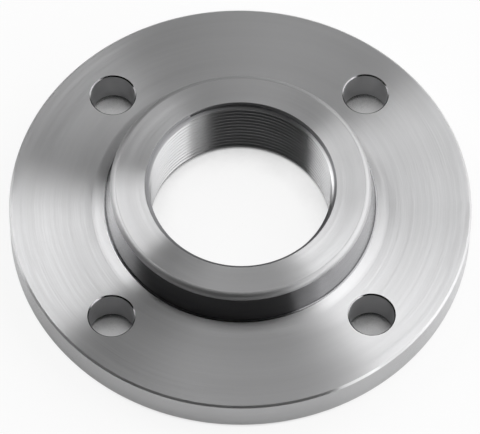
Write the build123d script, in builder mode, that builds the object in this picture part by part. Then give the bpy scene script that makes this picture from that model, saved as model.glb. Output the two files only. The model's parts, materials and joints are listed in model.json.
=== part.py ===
from build123d import *
import os

os.makedirs("parts", exist_ok=True)

# Threaded pipe flange with a hub, turned from one forging and standing on its sealing face.
# The origin is the centre of the bore on that face, and +Z runs up the bore to the hub's end.

# The disc. Its thickness runs from the sealing face to the face that the nuts bear on.
disc_diameter = 185.0
disc_thickness = 18.0
rim_chamfer = 0.8

# The raised sealing face under the disc
sealing_face_diameter = 122.0
sealing_face_height = 3.0
sealing_face_chamfer = 0.5

# The conical hub. Its length is counted from the face that the nuts bear on.
hub_foot_diameter = 108.4
hub_end_diameter = 103.2
hub_length = 15.0
hub_end_round = 2.5
hub_foot_fillet = 0.8

# The narrow land that the facing tool left round the hub's foot, sloping up to the hub
foot_land_width = 5.2
foot_land_rise = 0.25

# The 2 1/2 inch parallel pipe thread, 11 turns to the inch, with the depth that its 55 degree form gives.
# The bore is turned to the thread's crests and countersunk past its roots at both ends.
thread_major_diameter = 75.184
thread_pitch = 2.309
thread_depth_in_pitches = 0.640327
countersink_clearance = 0.6

# The bolt holes straddle the flange's centre lines.
bolt_circle_diameter = 145.0
bolt_hole_count = 4
bolt_hole_diameter = 18.0
bolt_hole_chamfer = 0.5
deburring_angle = 90.0

# Places that follow from the sizes
thread_depth = thread_depth_in_pitches * thread_pitch
bore_radius = thread_major_diameter / 2 - thread_depth
countersink_depth = thread_depth + countersink_clearance
foot_land_radius = hub_foot_diameter / 2 + foot_land_width
foot_z = disc_thickness + foot_land_rise
hub_end_z = disc_thickness + hub_length
first_hole_angle = 180 / bolt_hole_count

with BuildPart() as flange:
    # Half the section, turned about the bore's axis
    with BuildSketch(Plane.XZ) as section:
        with BuildLine():
            Polyline(
                (bore_radius, 0),
                (sealing_face_diameter / 2, 0),
                (sealing_face_diameter / 2, sealing_face_height),
                (disc_diameter / 2, sealing_face_height),
                (disc_diameter / 2, disc_thickness),
                (foot_land_radius, disc_thickness),
                (hub_foot_diameter / 2, foot_z),
                (hub_end_diameter / 2, hub_end_z),
                (bore_radius, hub_end_z),
                close=True,
            )
        make_face()
        # Countersinks at the bore's two mouths, and the rim's two broken edges
        chamfer(section.vertices().group_by(Axis.X)[0], countersink_depth)
        chamfer(section.vertices().group_by(Axis.X)[-1], rim_chamfer)
        # Outer edges of the sealing face and of the hub's end
        chamfer(section.vertices().group_by(Axis.Y)[0].sort_by(Axis.X)[-1], sealing_face_chamfer)
        fillet(section.vertices().group_by(Axis.Y)[-1].sort_by(Axis.X)[-1], hub_end_round)
        # Corner that the turning tool's nose left at the hub's foot
        fillet(section.vertices().filter_by_position(Axis.Y, foot_z, foot_z), hub_foot_fillet)
    revolve(axis=Axis.Z)

    # Bolt holes, drilled from the face that the nuts bear on and deburred on both sides
    back_face = Plane.XY.offset(disc_thickness)
    front_face = Plane.XY.offset(sealing_face_height).rotated((180, 0, 0))
    for side in (back_face, front_face):
        with Locations(side.location):
            with PolarLocations(bolt_circle_diameter / 2, bolt_hole_count, start_angle=first_hole_angle):
                CounterSinkHole(
                    radius=bolt_hole_diameter / 2,
                    counter_sink_radius=bolt_hole_diameter / 2 + bolt_hole_chamfer,
                    counter_sink_angle=deburring_angle,
                )

flange.part.label = "flange"
export_step(flange.part, "parts/flange.step")
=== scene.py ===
import json
import math

import bpy
import numpy as np
from mathutils import Matrix, Vector


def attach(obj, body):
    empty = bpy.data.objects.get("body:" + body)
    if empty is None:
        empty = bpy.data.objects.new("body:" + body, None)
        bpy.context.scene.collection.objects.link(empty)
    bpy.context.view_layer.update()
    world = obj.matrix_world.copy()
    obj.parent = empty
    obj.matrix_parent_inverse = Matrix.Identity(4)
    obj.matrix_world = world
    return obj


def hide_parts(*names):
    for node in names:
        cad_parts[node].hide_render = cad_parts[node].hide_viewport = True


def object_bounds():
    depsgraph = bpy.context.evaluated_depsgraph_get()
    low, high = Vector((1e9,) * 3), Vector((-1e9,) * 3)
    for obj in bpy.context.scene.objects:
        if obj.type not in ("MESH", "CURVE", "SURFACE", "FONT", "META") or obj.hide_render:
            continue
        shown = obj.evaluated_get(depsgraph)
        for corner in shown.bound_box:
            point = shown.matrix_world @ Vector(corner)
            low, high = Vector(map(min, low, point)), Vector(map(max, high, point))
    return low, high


bl_info = {
    "name": "Threaded Pipe Flange",
    "version": (1, 0, 0),
    "blender": (4, 5, 0),
    "location": "3D View > Sidebar > Flange",
    "description": "A turned and threaded steel pipe flange, and the stage that it is photographed on",
    "category": "Object",
}

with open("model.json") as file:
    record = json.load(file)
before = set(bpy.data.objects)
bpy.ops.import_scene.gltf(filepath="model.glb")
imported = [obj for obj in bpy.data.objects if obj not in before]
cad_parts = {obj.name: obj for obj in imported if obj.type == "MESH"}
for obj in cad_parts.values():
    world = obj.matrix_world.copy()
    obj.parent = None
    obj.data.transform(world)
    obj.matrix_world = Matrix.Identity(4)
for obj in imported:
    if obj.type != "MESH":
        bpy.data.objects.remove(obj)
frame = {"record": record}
cad_low, cad_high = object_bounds()
mounts = {mount["name"]: mount for mount in frame["record"]["mounts"]}

MM = 0.001
FULL_TURN = 2 * math.pi

# Grid cells round the bore's axis
CELLS_ROUND = 360
# Grid cells on the straight sides of a bolt hole's sector, and from the sector's edge in to the hole
CELLS_ALONG_SIDE = 10
CELLS_TO_HOLE = 7
# How much the cells crowd towards the hole, where 1 leaves them even
CELL_CROWDING = 1.5
# Grid cells on a rounded corner of the section, and on an arc of the thread's form
CELLS_ON_CORNER = 8
CELLS_ON_THREAD_ARC = 4

# Points that round to the same multiple of this length, in metres, are one vertex
WELD = 1.234e-7

# The 55 degree thread form, in pitches: its depth, and the radius of the arcs on its crests and roots
THREAD_DEPTH = 0.640327
THREAD_ARC_RADIUS = 0.137329
# How far each arc turns to both sides before a straight flank follows, in degrees
THREAD_ARC_TURN = 62.5

# The map that runs across the tool's lay in U and along it in V
LAY_MAP = "OFBake"
# How far the rings' place in their noise drifts over the flange, in ring widths
RING_DRIFT = 3.0
# The width of the sealing face's rings as a share of the other faces'
SEALING_RINGS = 0.4
# How rough the thread is where it runs out
RUN_OUT_ROUGHNESS = 0.5

# A Mix node's sockets for colours: the two that it mixes, and the mix
COLOUR_A = 6
COLOUR_B = 7
MIXED_COLOUR = 2

# The photograph's frame in pixels, and the width of the camera's sensor in millimetres
FRAME_WIDTH = 480
FRAME_HEIGHT = 434
SENSOR_WIDTH = 36.0

# The soft boxes: azimuth, elevation, roll, half width and half height in degrees, then brightness
SOFT_BOXES = {
    "right_box": (14, 29, 40, 38, 37, 2.2),
    "side_box": (-35, 42, 0, 7, 24, 0.7),
    "low_side_box": (-45, 15, 0, 8, 14, 2.3),
    "left_box": (148, 50, -30, 9, 15, 5.2),
    "low_left_box": (158, 13, 0, 16, 13, 1.5),
    "back_box": (71, 20, -30, 19, 29, 0.6),
    "high_box": (72, 72, 26, 14, 10, 1.35),
}
# How far from the origin they hang, in metres
BOX_DISTANCE = 1.6

# From the origin to the floor's sides, in metres
FLOOR_REACH = 3.0
# Steel nearer than this to a place on the floor closes it in, in metres
CLOSED_IN = 0.08
# How open the floor is where its painted shadow turns from black to lit, as it does in the gap under the disc
GAP_OPENNESS = (0.07, 0.13)
# How open the floor is where it turns from lit to plain white, as it does outside the bolt holes
HOLE_OPENNESS = (0.17, 0.34)
# How fast the floor's white fades in the steel's reflections where the flange closes over it
REFLECTED_FALL = 3.0
# How far from the origin the floor's white ends in the steel's reflections, in metres
PAPER_EDGE = (0.10, 0.12)


def linear(hex_colour):
    """An sRGB hex colour as linear red, green and blue."""
    channels = (int(hex_colour[i:i + 2], 16) / 255 for i in (1, 3, 5))
    return tuple(c / 12.92 if c <= 0.04045 else ((c + 0.055) / 1.055) ** 2.4 for c in channels)


def length(name, description, default):
    """A length in metres that a user can change."""
    return bpy.props.FloatProperty(
        name=name, description=description, default=default, min=0, unit="LENGTH", precision=5
    )


def colour(name, description, hex_colour):
    """A colour that a user can change."""
    return bpy.props.FloatVectorProperty(
        name=name, description=description, default=linear(hex_colour), subtype="COLOR", min=0, max=1
    )


class FlangeSizes(bpy.types.PropertyGroup):
    """The flange's sizes. Those of the mounts and the outside come from the frame."""

    disc_diameter: length("Disc diameter", "Across the rim", 2 * cad_high[0])
    hub_end_height: length("Hub end height", "From the sealing face to the hub's end", cad_high[2])
    nut_face_height: length(
        "Nut face height", "From the sealing face to the face that nuts bear on",
        mounts["nut_face"]["pos_m"][2],
    )
    rim_chamfer: length("Rim chamfer", "Broken edge on both sides of the rim", 0.8 * MM)
    sealing_face_diameter: length("Sealing face diameter", "Across the raised face", 122.0 * MM)
    sealing_face_height: length("Sealing face height", "How far the raised face stands proud", 3.0 * MM)
    sealing_face_chamfer: length("Sealing face chamfer", "Broken outer edge of the raised face", 0.5 * MM)
    hub_foot_diameter: length("Hub foot diameter", "Across the hub where it leaves the disc", 108.4 * MM)
    hub_end_diameter: length("Hub end diameter", "Across the hub's end, were its edge sharp", 103.2 * MM)
    hub_end_round: length("Hub end round", "Radius of the hub's outer edge", 2.5 * MM)
    hub_foot_fillet: length("Hub foot fillet", "Radius that the tool's nose left at the hub's foot", 0.8 * MM)
    foot_land_width: length("Foot land width", "Sloping land that was faced round the hub's foot", 5.2 * MM)
    foot_land_rise: length("Foot land rise", "How far the land climbs towards the hub", 0.25 * MM)
    thread_crest_diameter: length(
        "Thread crest diameter", "Across the thread's crests",
        2 * mounts["pipe_thread"]["dims"]["r_mm"] * MM,
    )
    thread_pitch: length("Thread pitch", "Eleven turns to the inch", 2.309 * MM)
    countersink_clearance: length(
        "Countersink clearance", "How far the bore's mouth stands outside the thread's roots", 0.6 * MM
    )
    bolt_circle_diameter: length(
        "Bolt circle diameter", "Across the bolt holes' centres",
        mounts["bolt_holes"]["dims"]["pcd_mm"] * MM,
    )
    bolt_hole_diameter: length(
        "Bolt hole diameter", "Across each bolt hole", 2 * mounts["bolt_holes"]["dims"]["hole_r_mm"] * MM
    )
    bolt_hole_chamfer: length("Bolt hole chamfer", "Deburred edge of each bolt hole", 0.5 * MM)
    bolt_hole_count: bpy.props.IntProperty(
        name="Bolt holes", description="Holes on the bolt circle",
        default=mounts["bolt_holes"]["dims"]["count"], min=3,
    )


class FlangeFinish(bpy.types.PropertyGroup):
    """The steel's colours and the tool's marks on it."""

    bright: colour("Bright steel", "Freshly turned steel", "#CFCFD0")
    dull: colour("Dull steel", "The darker rings between the brighter ones", "#C7C7C8")
    # These two are the steel darkened to paint shade into the thread and to dim the highlight on the hub's
    # rounded edge
    half_shade_bright: colour("Oiled bright steel", "The thread and the hub's rounded edge", "#BCBCBD")
    half_shade_dull: colour("Oiled dull steel", "The same, where dull", "#B0B0B1")
    # The two darkest steels paint shade: on the hub's side and in the fillet at its foot, along the bolt
    # holes' mouths and in the thread's run-out
    painted_shade_bright: colour("Bright hub steel", "The hub's side and the holes' deburred edges", "#949495")
    painted_shade_dull: colour("Dull hub steel", "The same, where dull, and the thread's run-out", "#88888A")
    run_out_depth: length("Run-out depth", "How far in from the bore's ends the thread is dull", 2.6 * MM)
    ring_width: length("Ring width", "Width of the broadest rings that the wandering feed left", 4.0 * MM)
    ring_depth: length("Ring depth", "From the crest to the hollow of those rings", 0.12 * MM)
    ring_reach: length("Ring reach", "How far round the flange a ring stays the same", 60.0 * MM)
    lean: bpy.props.FloatProperty(
        name="Lean", description="How far the tool marks' flanks lean towards where the tool came from",
        default=math.radians(4.5), subtype="ANGLE",
    )


class FlangeStage(bpy.types.PropertyGroup):
    """The camera, the floor and the lights."""

    distance: length("Camera distance", "From the origin to the camera", 1.7758)
    elevation: bpy.props.FloatProperty(
        name="Elevation", description="How steeply the camera looks down",
        default=math.radians(59.5), subtype="ANGLE",
    )
    turn: bpy.props.FloatProperty(
        name="Turn", description="How far the camera stands to the side of the flange's centre line",
        default=math.radians(-1.2), subtype="ANGLE",
    )
    roll: bpy.props.FloatProperty(
        name="Roll", description="How far the camera is tilted about its own line of sight",
        default=math.radians(0.77), subtype="ANGLE",
    )
    focal_length: bpy.props.FloatProperty(
        name="Focal length", description="Of the lens, in millimetres",
        default=330.2, subtype="DISTANCE_CAMERA",
    )
    origin_pixel: bpy.props.FloatVectorProperty(
        name="Origin pixel", description="Where the flange's origin falls in the frame", size=2,
        default=(240.1, 226.0),
    )
    floor: colour("Floor", "The pale table", "#F4F4F4")
    floor_glow: bpy.props.FloatProperty(
        name="Floor glow", description="How much of the open floor shows as plain white",
        default=0.9, min=0, max=1,
    )
    walls: bpy.props.FloatProperty(
        name="Walls", description="Brightness of the studio's walls, where 1 is white", default=0.005, min=0
    )


def rounded_profile(corners):
    """A half section as strips of points and outward normals, from (radius, height, corner radius) corners.

    Each straight side is a strip of two points. Its normal is its direction turned a quarter turn to the
    left. Each rounded corner is a strip on a circle that touches both its sides: the circle's centre lies the
    radius away from the side where it leaves the side, and the normal turns from one side's to the other's.
    """
    places = np.array([corner[:2] for corner in corners])
    radii = [corner[2] for corner in corners]
    sides = np.diff(places, axis=0)
    sides /= np.linalg.norm(sides, axis=1)[:, None]
    normals = np.stack([-sides[:, 1], sides[:, 0]], axis=1)
    strips = []
    start = places[0]
    for i, (side, normal) in enumerate(zip(sides, normals)):
        end, radius = places[i + 1], radii[i + 1]
        turn = 0.0
        if radius:
            following = sides[i + 1]
            turn = math.atan2(side[0] * following[1] - side[1] * following[0], side @ following)
        touch = end - side * radius * math.tan(abs(turn) / 2)
        strips.append((np.array([start, touch]), np.array([normal, normal])))
        start = touch
        if radius:
            bulge = -math.copysign(1, turn)
            centre = touch - bulge * radius * normal
            angles = np.linspace(0, turn, CELLS_ON_CORNER + 1) + math.atan2(normal[1], normal[0])
            around = np.stack([np.cos(angles), np.sin(angles)], axis=1)
            strips.append((centre + bulge * radius * around, around))
            start = strips[-1][0][-1]
    return strips


def leaning(normals, lean):
    """Profile normals turned by the lean to their right, which is the way that the section runs."""
    cosine, sine = math.cos(lean), math.sin(lean)
    return normals @ np.array([[cosine, -sine], [sine, cosine]])


def carried_round(points, normals, angles, centre=(0.0, 0.0)):
    """A surface of revolution: each (radius, height) point is carried round the centre through the angles."""
    cosine, sine = np.cos(angles), np.sin(angles)

    def turned(pairs):
        across, up = pairs[:, :1], pairs[:, 1:]
        return np.stack([across * cosine, across * sine, up + 0 * cosine], axis=2)

    return turned(points) + np.array([*centre, 0.0]), turned(normals)


def lay_grid(along, around):
    """The lay map's U from the distance along the section and its V from the share of the turn."""
    return np.stack(np.broadcast_arrays(along[:, None], around[None, :]), axis=2)


class Skin:
    """Grids of points that together close the flange's surface, and how far the lay map has got."""

    def __init__(self, lean):
        self.points, self.normals, self.lay, self.finish = [], [], [], []
        self.along = 0.0
        self.lean = lean

    def add(self, points, normals, lay, finish):
        """Adds one grid as cells of four corners. Rows times columns point outwards."""
        for kept, grid in ((self.points, points), (self.normals, normals), (self.lay, lay)):
            cells = np.stack([grid[:-1, :-1], grid[1:, :-1], grid[1:, 1:], grid[:-1, 1:]], axis=2)
            kept.append(cells.reshape(-1, 4, grid.shape[2]))
        self.finish.append(np.full(len(self.points[-1]), finish))

    def add_profile(self, corners, finishes):
        """Adds a surface of revolution round the bore's axis, and moves along the lay map by its length.

        Each side and each rounded corner has a finish of its own, in the order of the corners.
        """
        around = np.linspace(0, 1, CELLS_ROUND + 1)
        for (points, normals), finish in zip(rounded_profile(corners), finishes, strict=True):
            steps = np.linalg.norm(np.diff(points, axis=0), axis=1)
            along = self.along + np.concatenate([[0.0], np.cumsum(steps)])
            self.along = along[-1]
            grid = carried_round(points, leaning(normals, self.lean), around * FULL_TURN)
            self.add(*grid, lay_grid(along, around), finish)

    def mesh(self, name, materials):
        """One mesh from all the cells.

        Corners at one place are one vertex. A cell with two corners in one vertex is a triangle, and a cell
        without area is left out. U is the distance along over the whole distance.
        """
        points = np.concatenate(self.points)
        normals = np.concatenate(self.normals)
        lay = np.concatenate(self.lay)
        lay[..., 0] /= self.along
        finish = np.concatenate(self.finish)
        keys = np.round(points.reshape(-1, 3) / WELD).astype(np.int64)
        _, first, index = np.unique(keys, axis=0, return_index=True, return_inverse=True)
        vertices = points.reshape(-1, 3)[first]
        index = index.reshape(-1, 4)
        kept = index != np.roll(index, -1, axis=1)
        sides = kept.sum(axis=1)
        faces, face_finish, corner_normals, corner_lay = [], [], [], []
        for count in (4, 3):
            cells = sides == count
            corners = kept[cells]
            faces += index[cells][corners].reshape(-1, count).tolist()
            face_finish.append(finish[cells])
            corner_normals.append(normals[cells][corners])
            corner_lay.append(lay[cells][corners])
        mesh = bpy.data.meshes.new(name)
        mesh.from_pydata(vertices.tolist(), [], faces)
        mesh.polygons.foreach_set("material_index", np.concatenate(face_finish).astype(np.int32))
        mesh.polygons.foreach_set("use_smooth", np.ones(len(faces), dtype=bool))
        lay_map = mesh.uv_layers.new(name=LAY_MAP)
        lay_map.uv.foreach_set("vector", np.concatenate(corner_lay).astype(np.float32).ravel())
        for material in materials:
            mesh.materials.append(material)
        mesh.normals_split_custom_set(np.concatenate(corner_normals).astype(np.float32))
        mesh.validate()
        return mesh


def threaded_bore(sizes, crest, mouth, height):
    """The threaded bore as a grid of points, normals and places on the lay map.

    The thread has arcs on its crests and roots, joined by straight flanks. A row of the grid keeps its place
    in the form and climbs one pitch in a turn, so the last column meets the first one a whole form higher.
    Where the countersink's cone is wider than the thread, the radius is the cone's, and rows past the bore's
    ends lie on the ends' edges.
    """
    pitch = sizes.thread_pitch
    arc = THREAD_ARC_RADIUS * pitch
    depth = THREAD_DEPTH * pitch
    swing = np.radians(np.linspace(-THREAD_ARC_TURN, THREAD_ARC_TURN, CELLS_ON_THREAD_ARC + 1))
    form_z = np.concatenate([arc * np.sin(swing), pitch / 2 + arc * np.sin(swing)])
    form_radius = np.concatenate([
        crest + arc * (1 - np.cos(swing)),
        crest + depth - arc * (1 - np.cos(swing)),
    ])
    form_slope = np.concatenate([np.tan(swing), -np.tan(swing)])
    turns = np.arange(-2, math.ceil(height / pitch) + 2)
    start_z = (turns[:, None] * pitch + form_z).ravel()
    around = np.linspace(0, 1, CELLS_ROUND + 1)
    z = np.clip(start_z[:, None] + pitch * around, 0, height)
    cone = mouth - np.minimum(z, height - z)
    thread = np.broadcast_to(np.tile(form_radius, len(turns))[:, None], z.shape)
    thread_slope = np.tile(form_slope, len(turns))[:, None]
    in_cone = cone >= thread
    radius = np.where(in_cone, cone, thread)
    slope = np.where(in_cone, np.where(z > height / 2, 1.0, -1.0), thread_slope)
    climb = np.where(in_cone, 0.0, -slope * pitch / FULL_TURN / radius)
    cosine, sine = np.cos(around * FULL_TURN), np.sin(around * FULL_TURN)
    points = np.stack([radius * cosine, radius * sine, z], axis=2)
    normals = np.stack([-cosine - climb * sine, -sine + climb * cosine, slope], axis=2)
    normals /= np.linalg.norm(normals, axis=2)[..., None]
    lay = np.stack(np.broadcast_arrays(z, around[None, :]), axis=2)
    return points, normals, lay


def sector_sides(inner, outer, half_angle, cells_along_arc):
    """The edge of a bolt hole's sector of the disc, as radii and as angles from the hole's own.

    From above it runs clockwise: along the inner arc, out along one side, back along the outer arc and in
    along the other side.
    """
    arc = np.linspace(-half_angle, half_angle, cells_along_arc + 1)
    side = np.linspace(inner, outer, CELLS_ALONG_SIDE + 1)
    radii = [inner + 0 * arc, side[1:], outer + 0 * arc[1:], side[-2::-1]]
    angles = [arc, half_angle + 0 * side[1:], arc[-2::-1], -half_angle + 0 * side[1:]]
    return np.concatenate(radii), np.concatenate(angles)


def drilled_sector(skin, sizes, number, faces, finishes):
    """One bolt hole with its sector of both faces of the disc.

    Each face is given as its height, its inner radius and its place on the lay map. On it, rings shrink in
    polar coordinates from the sector's edge to the hole's mouth: a ring's radius and angle are the share s of
    the edge's plus the share 1 - s of the mouth's. Each mouth point lies in its edge point's direction from
    the hole, so that the rings can't cross. The hole's wall is a surface of revolution through the mouth's
    points.
    """
    top_z, top_inner, _ = faces[0]
    low_z = faces[1][0]
    disc_finish, *wall_finishes = finishes
    outer = sizes.disc_diameter / 2 - sizes.rim_chamfer
    hole_radius = sizes.bolt_hole_diameter / 2
    mouth_radius = hole_radius + sizes.bolt_hole_chamfer
    circle_radius = sizes.bolt_circle_diameter / 2
    half_angle = FULL_TURN / sizes.bolt_hole_count / 2
    hole_angle = half_angle * (2 * number + 1)
    cells_along_arc = CELLS_ROUND // sizes.bolt_hole_count
    edge_radii, edge_angles = sector_sides(top_inner, outer, half_angle, cells_along_arc)
    bearing = np.unwrap(np.arctan2(edge_angles * circle_radius, edge_radii - circle_radius))

    for (z, inner, along), downwards in zip(faces, (False, True)):
        edge_radii, edge_angles = sector_sides(inner, outer, half_angle, cells_along_arc)
        mouth_x = circle_radius + mouth_radius * np.cos(bearing)
        mouth_y = mouth_radius * np.sin(bearing)
        share = np.linspace(1, 0, CELLS_TO_HOLE + 1)[:, None] ** CELL_CROWDING
        radii = share * edge_radii + (1 - share) * np.hypot(mouth_x, mouth_y)
        angles = share * edge_angles + (1 - share) * np.arctan2(mouth_y, mouth_x) + hole_angle
        points = np.stack([radii * np.cos(angles), radii * np.sin(angles), z + 0 * radii], axis=2)
        face_normal = leaning(np.array([0.0, -1.0 if downwards else 1.0]), skin.lean)
        normals = np.stack([
            face_normal[0] * np.cos(angles),
            face_normal[0] * np.sin(angles),
            face_normal[1] + 0 * angles,
        ], axis=2)
        across = outer - radii if downwards else radii - inner
        lay = np.stack([along + across, angles / FULL_TURN], axis=2)
        if downwards:
            points, normals, lay = points[::-1], normals[::-1], lay[::-1]
        skin.add(points, normals, lay, disc_finish)

    centre = (circle_radius * math.cos(hole_angle), circle_radius * math.sin(hole_angle))
    wall = [
        (mouth_radius, top_z, 0),
        (hole_radius, top_z - sizes.bolt_hole_chamfer, 0),
        (hole_radius, low_z + sizes.bolt_hole_chamfer, 0),
        (mouth_radius, low_z, 0),
    ]
    along = skin.along
    share_round = (number + np.linspace(0, 1, len(bearing))) / sizes.bolt_hole_count
    for (points, normals), finish in zip(rounded_profile(wall), wall_finishes, strict=True):
        steps = np.linalg.norm(np.diff(points, axis=0), axis=1)
        reach = along + np.concatenate([[0.0], np.cumsum(steps)])
        along = reach[-1]
        grid = carried_round(points, -normals, bearing + hole_angle, centre)
        skin.add(*grid, lay_grid(reach, share_round), finish)
    return along


def flange_skin(sizes, lean):
    """The whole surface: up the bore, out over the hub and disc, down the rim and in over the sealing face.

    The finishes are numbered in the order in which the operator gives the mesh its materials.
    """
    faced, rim, hub, edge, threaded, sealing, drilled, deburred = range(8)
    crest = sizes.thread_crest_diameter / 2
    mouth = crest + THREAD_DEPTH * sizes.thread_pitch + sizes.countersink_clearance
    height = sizes.hub_end_height
    nut_face = sizes.nut_face_height
    disc_radius = sizes.disc_diameter / 2
    hub_foot = sizes.hub_foot_diameter / 2
    land = hub_foot + sizes.foot_land_width
    sealing_radius = sizes.sealing_face_diameter / 2
    skin = Skin(lean)

    skin.add(*threaded_bore(sizes, crest, mouth, height), threaded)
    skin.along += height
    skin.add_profile([
        (mouth, height, 0),
        (sizes.hub_end_diameter / 2, height, sizes.hub_end_round),
        (hub_foot, nut_face + sizes.foot_land_rise, sizes.hub_foot_fillet),
        (land, nut_face, 0),
    ], (faced, edge, hub, hub, faced))
    top_face = (nut_face, land, skin.along)
    skin.along += disc_radius - sizes.rim_chamfer - land
    skin.add_profile([
        (disc_radius - sizes.rim_chamfer, nut_face, 0),
        (disc_radius, nut_face - sizes.rim_chamfer, 0),
        (disc_radius, sizes.sealing_face_height + sizes.rim_chamfer, 0),
        (disc_radius - sizes.rim_chamfer, sizes.sealing_face_height, 0),
    ], (faced, rim, faced))
    low_face = (sizes.sealing_face_height, sealing_radius, skin.along)
    skin.along += disc_radius - sizes.rim_chamfer - sealing_radius
    skin.add_profile([
        (sealing_radius, sizes.sealing_face_height, 0),
        (sealing_radius, sizes.sealing_face_chamfer, 0),
        (sealing_radius - sizes.sealing_face_chamfer, 0, 0),
        (mouth, 0, 0),
    ], (rim, faced, sealing))
    # The holes' walls lie side by side on one strip of the lay map
    finishes = (faced, deburred, drilled, deburred)
    for number in range(sizes.bolt_hole_count):
        end = drilled_sector(skin, sizes, number, (top_face, low_face), finishes)
    skin.along = end
    return skin


def add_node(tree, kind, inputs=None, **settings):
    """Adds a node with its settings, and gives each named input its value or the output that feeds it."""
    node = tree.nodes.new(kind)
    for name, value in settings.items():
        setattr(node, name, value)
    for key, value in (inputs or {}).items():
        if isinstance(value, bpy.types.NodeSocket):
            tree.links.new(value, node.inputs[key])
        else:
            node.inputs[key].default_value = value
    return node


def new_material(name):
    """A material with nothing in it, and its node tree."""
    material = bpy.data.materials.new(name)
    material.use_nodes = True
    material.node_tree.nodes.clear()
    return material, material.node_tree


def machined_steel(name, finish, lay_length, shades, roughness, anisotropy, ring_width, ring_depth):
    """Bare carbon steel off a cutting tool.

    The tool's feed leaves ridges round the flange that are finer than the render shows. They spread the light
    across the lay and hardly along it, which is the anisotropy. Where the feed wandered, broad rings tilt a
    little more or less, and that is the bump. A ring fades in and out as its place in the noise drifts with
    its place on the flange.
    """
    material, tree = new_material(name)
    lay = add_node(tree, "ShaderNodeUVMap", uv_map=LAY_MAP)
    place = add_node(tree, "ShaderNodeTexCoord")
    drift = add_node(tree, "ShaderNodeTexNoise", {
        "Vector": place.outputs["Object"], "Scale": 1 / finish.ring_reach, "Detail": 1.0,
    })
    drift = add_node(tree, "ShaderNodeVectorMath", {
        0: drift.outputs["Color"], 1: (0, RING_DRIFT, 0),
    }, operation="MULTIPLY")
    across = add_node(tree, "ShaderNodeVectorMath", {
        0: lay.outputs[0], 1: (lay_length / ring_width, 0, 0), 2: drift.outputs[0],
    }, operation="MULTIPLY_ADD")
    rings = add_node(tree, "ShaderNodeTexNoise", {
        "Vector": across.outputs[0], "Scale": 1.0, "Detail": 3.0, "Roughness": 0.5,
    }, noise_dimensions="2D")
    dull, bright = shades
    tint = add_node(tree, "ShaderNodeMix", {
        0: rings.outputs[0], COLOUR_A: (*dull, 1), COLOUR_B: (*bright, 1),
    }, data_type="RGBA")
    tilt = add_node(tree, "ShaderNodeBump", {"Height": rings.outputs[0], "Distance": ring_depth})
    tangent = add_node(tree, "ShaderNodeTangent", direction_type="UV_MAP", uv_map=LAY_MAP)
    shader = add_node(tree, "ShaderNodeBsdfPrincipled", {
        "Base Color": tint.outputs[MIXED_COLOUR], "Metallic": 1.0, "Roughness": roughness,
        "Anisotropic": anisotropy, "Tangent": tangent.outputs[0], "Normal": tilt.outputs[0],
    })
    add_node(tree, "ShaderNodeOutputMaterial", {"Surface": shader.outputs[0]})
    return material


def shade_and_roughen_run_out(material, finish, bore_length):
    """Paints shade near the bore's ends by darkening the thread's colour there, which also dims its
    highlight, and makes the thread rougher where it runs out raggedly.
    """
    tree = material.node_tree
    shader = next(node for node in tree.nodes if node.type == "BSDF_PRINCIPLED")
    place = add_node(tree, "ShaderNodeTexCoord")
    height = add_node(tree, "ShaderNodeSeparateXYZ", {0: place.outputs["Object"]})
    off_middle = add_node(tree, "ShaderNodeMath", {
        0: height.outputs["Z"], 1: bore_length / 2,
    }, operation="SUBTRACT")
    off_middle = add_node(tree, "ShaderNodeMath", {0: off_middle.outputs[0]}, operation="ABSOLUTE")
    clean_half = bore_length / 2 - finish.run_out_depth
    share = add_node(tree, "ShaderNodeMapRange", {
        "Value": off_middle.outputs[0],
        "From Min": clean_half,
        "From Max": clean_half + finish.run_out_depth / 2,
    }, interpolation_type="SMOOTHSTEP").outputs[0]
    clean_tint = shader.inputs["Base Color"].links[0].from_socket
    # Painted shade: towards the bore's ends the thread's colour goes to the darkest steel
    tint = add_node(tree, "ShaderNodeMix", {
        0: share, COLOUR_A: clean_tint, COLOUR_B: (*finish.painted_shade_dull, 1),
    }, data_type="RGBA")
    roughness = add_node(tree, "ShaderNodeMapRange", {
        "Value": share, "To Min": shader.inputs["Roughness"].default_value, "To Max": RUN_OUT_ROUGHNESS,
    })
    tree.links.new(tint.outputs[MIXED_COLOUR], shader.inputs["Base Color"])
    tree.links.new(roughness.outputs[0], shader.inputs["Roughness"])


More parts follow.
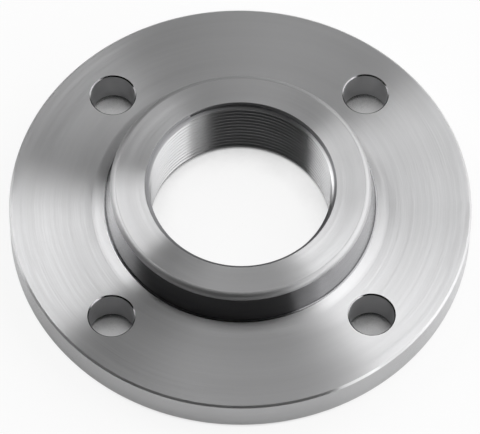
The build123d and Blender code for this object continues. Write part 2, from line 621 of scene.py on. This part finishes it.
class FLANGE_OT_make_flange(bpy.types.Operator):
    """Make the flange, with its thread cut and its tool marks on it"""

    bl_idname = "flange.make_flange"
    bl_label = "Make the flange"

    def execute(self, context):
        sizes, finish = context.scene.flange_sizes, context.scene.flange_finish
        skin = flange_skin(sizes, finish.lean)
        width, depth = finish.ring_width, finish.ring_depth
        clean = finish.dull, finish.bright
        half_shade = finish.half_shade_dull, finish.half_shade_bright
        dark = finish.painted_shade_dull, finish.painted_shade_bright
        # Each finish's colours, roughness, anisotropy, ring width and ring depth, in flange_skin's order
        materials = {
            name: machined_steel(name, finish, skin.along, *looks)
            for name, *looks in (
                # Faced across with a pointed tool: bright fans that stand still while the flange turns
                ("faced_steel", clean, 0.3, 1.0, width, depth),
                # Turned lengthwise with a finer feed: the fans are narrower
                ("turned_rim_steel", clean, 0.25, 1.0, width, depth / 2),
                # Turned with a broad, blunter tool: its fans have soft edges. Its dark colour is painted
                # shade on the hub's side and in the fillet at its foot
                ("turned_hub_steel", dark, 0.2, 0.6, width, depth / 2),
                # Rounded with a form tool and rubbed with emery while it turned: the lay is softer. Its
                # darker colour paints the round's highlight down
                ("dressed_edge_steel", half_shade, 0.45, 0.7, width, 0.0),
                # Cut with a threading tool: smooth flanks. Its darker colour paints shade into the bore
                ("threaded_steel", half_shade, 0.28, 0.9, width, 0.0),
                # Faced with the even feed that grips a gasket, drawn twice as wide as it is so that it shows
                ("sealing_face_steel", clean, 0.3, 1.0, width * SEALING_RINGS, depth / 2),
                # Drilled: scored round the hole and duller than a turned face
                ("drilled_steel", clean, 0.4, 0.6, width, depth / 2),
                # Deburred with a fine countersink: a narrow, burnished cone. Its dark colour paints shade
                # along the holes' mouths and dims their glints
                ("deburred_steel", dark, 0.18, 0.2, width, 0.0),
            )
        }
        shade_and_roughen_run_out(materials["threaded_steel"], finish, sizes.hub_end_height)
        mesh = skin.mesh("flange_body", materials.values())
        piece = bpy.data.objects.new("flange_body", mesh)
        context.scene.collection.objects.link(piece)
        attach(piece, "root")
        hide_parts("flange")
        return {"FINISHED"}


def set_camera(stage):
    """The camera on a sphere about the origin, moved sideways so that the origin falls on its pixel."""
    data = bpy.data.cameras.new("camera")
    data.lens = stage.focal_length
    data.sensor_width = SENSOR_WIDTH
    camera = bpy.data.objects.new("camera", data)
    bpy.context.scene.collection.objects.link(camera)
    cosine, sine = math.cos(stage.elevation), math.sin(stage.elevation)
    axes = Matrix(((1, 0, 0), (0, sine, -cosine), (0, cosine, sine)))
    axes = Matrix.Rotation(stage.turn, 3, "Z") @ axes @ Matrix.Rotation(stage.roll, 3, "Z")
    metres_per_pixel = stage.distance * SENSOR_WIDTH / stage.focal_length / FRAME_WIDTH
    shift = Vector((
        FRAME_WIDTH / 2 - stage.origin_pixel[0],
        stage.origin_pixel[1] - FRAME_HEIGHT / 2,
        0,
    )) * metres_per_pixel
    place = axes @ (shift + Vector((0, 0, stage.distance)))
    camera.matrix_world = Matrix.Translation(place) @ axes.to_4x4()
    bpy.context.scene.camera = camera


def hang_soft_box(name, azimuth, elevation, roll, half_width, half_height, brightness):
    """A flat soft box that faces the origin.

    Its place is given in degrees round the flange from +X and up from the floor. Its half sizes are the
    degrees that they fill as seen from the origin. A sheet of area A that glows with a brightness of 1, as
    white paper does under full light, sends out pi times A watts.
    """
    azimuth, elevation, roll = (math.radians(angle) for angle in (azimuth, elevation, roll))
    lamp = bpy.data.lights.new(name, "AREA")
    lamp.shape = "RECTANGLE"
    lamp.size = 2 * BOX_DISTANCE * math.tan(math.radians(half_width))
    lamp.size_y = 2 * BOX_DISTANCE * math.tan(math.radians(half_height))
    lamp.energy = brightness * math.pi * lamp.size * lamp.size_y
    soft_box = bpy.data.objects.new(name, lamp)
    bpy.context.scene.collection.objects.link(soft_box)
    round_flange = Matrix.Rotation(azimuth + FULL_TURN / 4, 4, "Z")
    off_upright = Matrix.Rotation(FULL_TURN / 4 - elevation, 4, "X")
    turn = round_flange @ off_upright @ Matrix.Rotation(roll, 4, "Z")
    soft_box.matrix_world = turn @ Matrix.Translation((0, 0, BOX_DISTANCE))


def painted_floor(stage):
    """Pale paper that shows as white where it lies open, and as it is lit where the flange closes over it.

    In the gap under the disc its colour is painted black, a painted shadow where next to no light reaches.
    In the steel's reflections the white fades sooner, and ends at the paper's edge.
    """
    material, tree = new_material("paper")
    path = add_node(tree, "ShaderNodeLightPath")
    white = add_node(tree, "ShaderNodeEmission", {"Color": (1, 1, 1, 1), "Strength": 1.0})
    openness = add_node(tree, "ShaderNodeAmbientOcclusion", {"Distance": CLOSED_IN}, samples=16).outputs["AO"]
    clear_of_painted_shadow, out_of_holes = (
        add_node(tree, "ShaderNodeMapRange", {
            "Value": openness, "From Min": closed, "From Max": opened,
        }, interpolation_type="SMOOTHSTEP")
        for closed, opened in (GAP_OPENNESS, HOLE_OPENNESS)
    )
    # Painted shadow: where the flange closes over the paper, its colour goes to black
    painted_shadow = add_node(tree, "ShaderNodeMix", {
        0: clear_of_painted_shadow.outputs[0], COLOUR_A: (0, 0, 0, 1), COLOUR_B: (*stage.floor, 1),
    }, data_type="RGBA")
    paper = add_node(tree, "ShaderNodeBsdfDiffuse", {"Color": painted_shadow.outputs[MIXED_COLOUR]})
    place = add_node(tree, "ShaderNodeTexCoord")
    from_middle = add_node(tree, "ShaderNodeVectorMath", {0: place.outputs["Object"]}, operation="LENGTH")
    paper_edge, beyond = PAPER_EDGE
    on_paper = add_node(tree, "ShaderNodeMapRange", {
        "Value": from_middle.outputs["Value"], "From Min": beyond, "From Max": paper_edge,
    }, interpolation_type="SMOOTHSTEP")
    fading = add_node(tree, "ShaderNodeMath", {0: openness, 1: REFLECTED_FALL}, operation="POWER")
    mirrored = add_node(tree, "ShaderNodeMath", {
        0: fading.outputs[0], 1: on_paper.outputs[0],
    }, operation="MULTIPLY")
    to_camera = add_node(tree, "ShaderNodeMath", {
        0: out_of_holes.outputs[0], 1: path.outputs["Is Camera Ray"],
    }, operation="MULTIPLY")
    reflected = add_node(tree, "ShaderNodeMath", {
        0: path.outputs["Is Glossy Ray"], 1: path.outputs["Is Transmission Ray"],
    }, operation="MAXIMUM")
    share = add_node(tree, "ShaderNodeMath", {
        0: mirrored.outputs[0], 1: reflected.outputs[0], 2: to_camera.outputs[0],
    }, operation="MULTIPLY_ADD")
    share = add_node(tree, "ShaderNodeMath", {0: share.outputs[0], 1: stage.floor_glow}, operation="MULTIPLY")
    look = add_node(tree, "ShaderNodeMixShader", {
        0: share.outputs[0], 1: paper.outputs[0], 2: white.outputs[0],
    })
    add_node(tree, "ShaderNodeOutputMaterial", {"Surface": look.outputs[0]})
    return material


def surround(stage):
    """The studio's walls, dim where they light the flange and white behind it."""
    world = bpy.data.worlds.new("studio")
    bpy.context.scene.world = world
    world.use_nodes = True
    tree = world.node_tree
    tree.nodes.clear()
    path = add_node(tree, "ShaderNodeLightPath")
    white = 1.0
    strength = add_node(tree, "ShaderNodeMix", {0: path.outputs["Is Camera Ray"], 2: stage.walls, 3: white})
    walls = add_node(tree, "ShaderNodeBackground", {"Color": (1, 1, 1, 1), "Strength": strength.outputs[0]})
    add_node(tree, "ShaderNodeOutputWorld", {"Surface": walls.outputs[0]})


class FLANGE_OT_set_stage(bpy.types.Operator):
    """Set up the camera, the floor, the lights and the surroundings"""

    bl_idname = "flange.set_stage"
    bl_label = "Set the stage"

    def execute(self, context):
        stage = context.scene.flange_stage
        set_camera(stage)
        mesh = bpy.data.meshes.new("floor")
        corners = [(FLOOR_REACH * x, FLOOR_REACH * y, 0) for x, y in ((-1, -1), (1, -1), (1, 1), (-1, 1))]
        mesh.from_pydata(corners, [], [(0, 1, 2, 3)])
        mesh.materials.append(painted_floor(stage))
        floor = bpy.data.objects.new("floor", mesh)
        context.scene.collection.objects.link(floor)
        surround(stage)
        for name, placing in SOFT_BOXES.items():
            hang_soft_box(name, *placing)
        context.scene.view_settings.view_transform = "Standard"
        return {"FINISHED"}


class FLANGE_PT_panel(bpy.types.Panel):
    """The operators that make the flange and its stage"""

    bl_idname = "FLANGE_PT_panel"
    bl_label = "Pipe Flange"
    bl_space_type = "VIEW_3D"
    bl_region_type = "UI"
    bl_category = "Flange"

    def draw(self, context):
        layout = self.layout
        for operator in OPERATORS:
            layout.operator(operator.bl_idname)


OPERATORS = (FLANGE_OT_make_flange, FLANGE_OT_set_stage)
GROUPS = {"flange_sizes": FlangeSizes, "flange_finish": FlangeFinish, "flange_stage": FlangeStage}


def register():
    """Makes the classes known to Blender, and gives each scene its settings."""
    for cls in (*GROUPS.values(), *OPERATORS, FLANGE_PT_panel):
        bpy.utils.register_class(cls)
    for name, group in GROUPS.items():
        setattr(bpy.types.Scene, name, bpy.props.PointerProperty(type=group))


def unregister():
    """Takes back what register did."""
    for name in GROUPS:
        delattr(bpy.types.Scene, name)
    for cls in (FLANGE_PT_panel, *OPERATORS, *GROUPS.values()):
        bpy.utils.unregister_class(cls)


def main():
    """Makes the flange and its stage."""
    register()
    bpy.ops.flange.make_flange()
    bpy.ops.flange.set_stage()


if __name__ == "__main__":
    main()
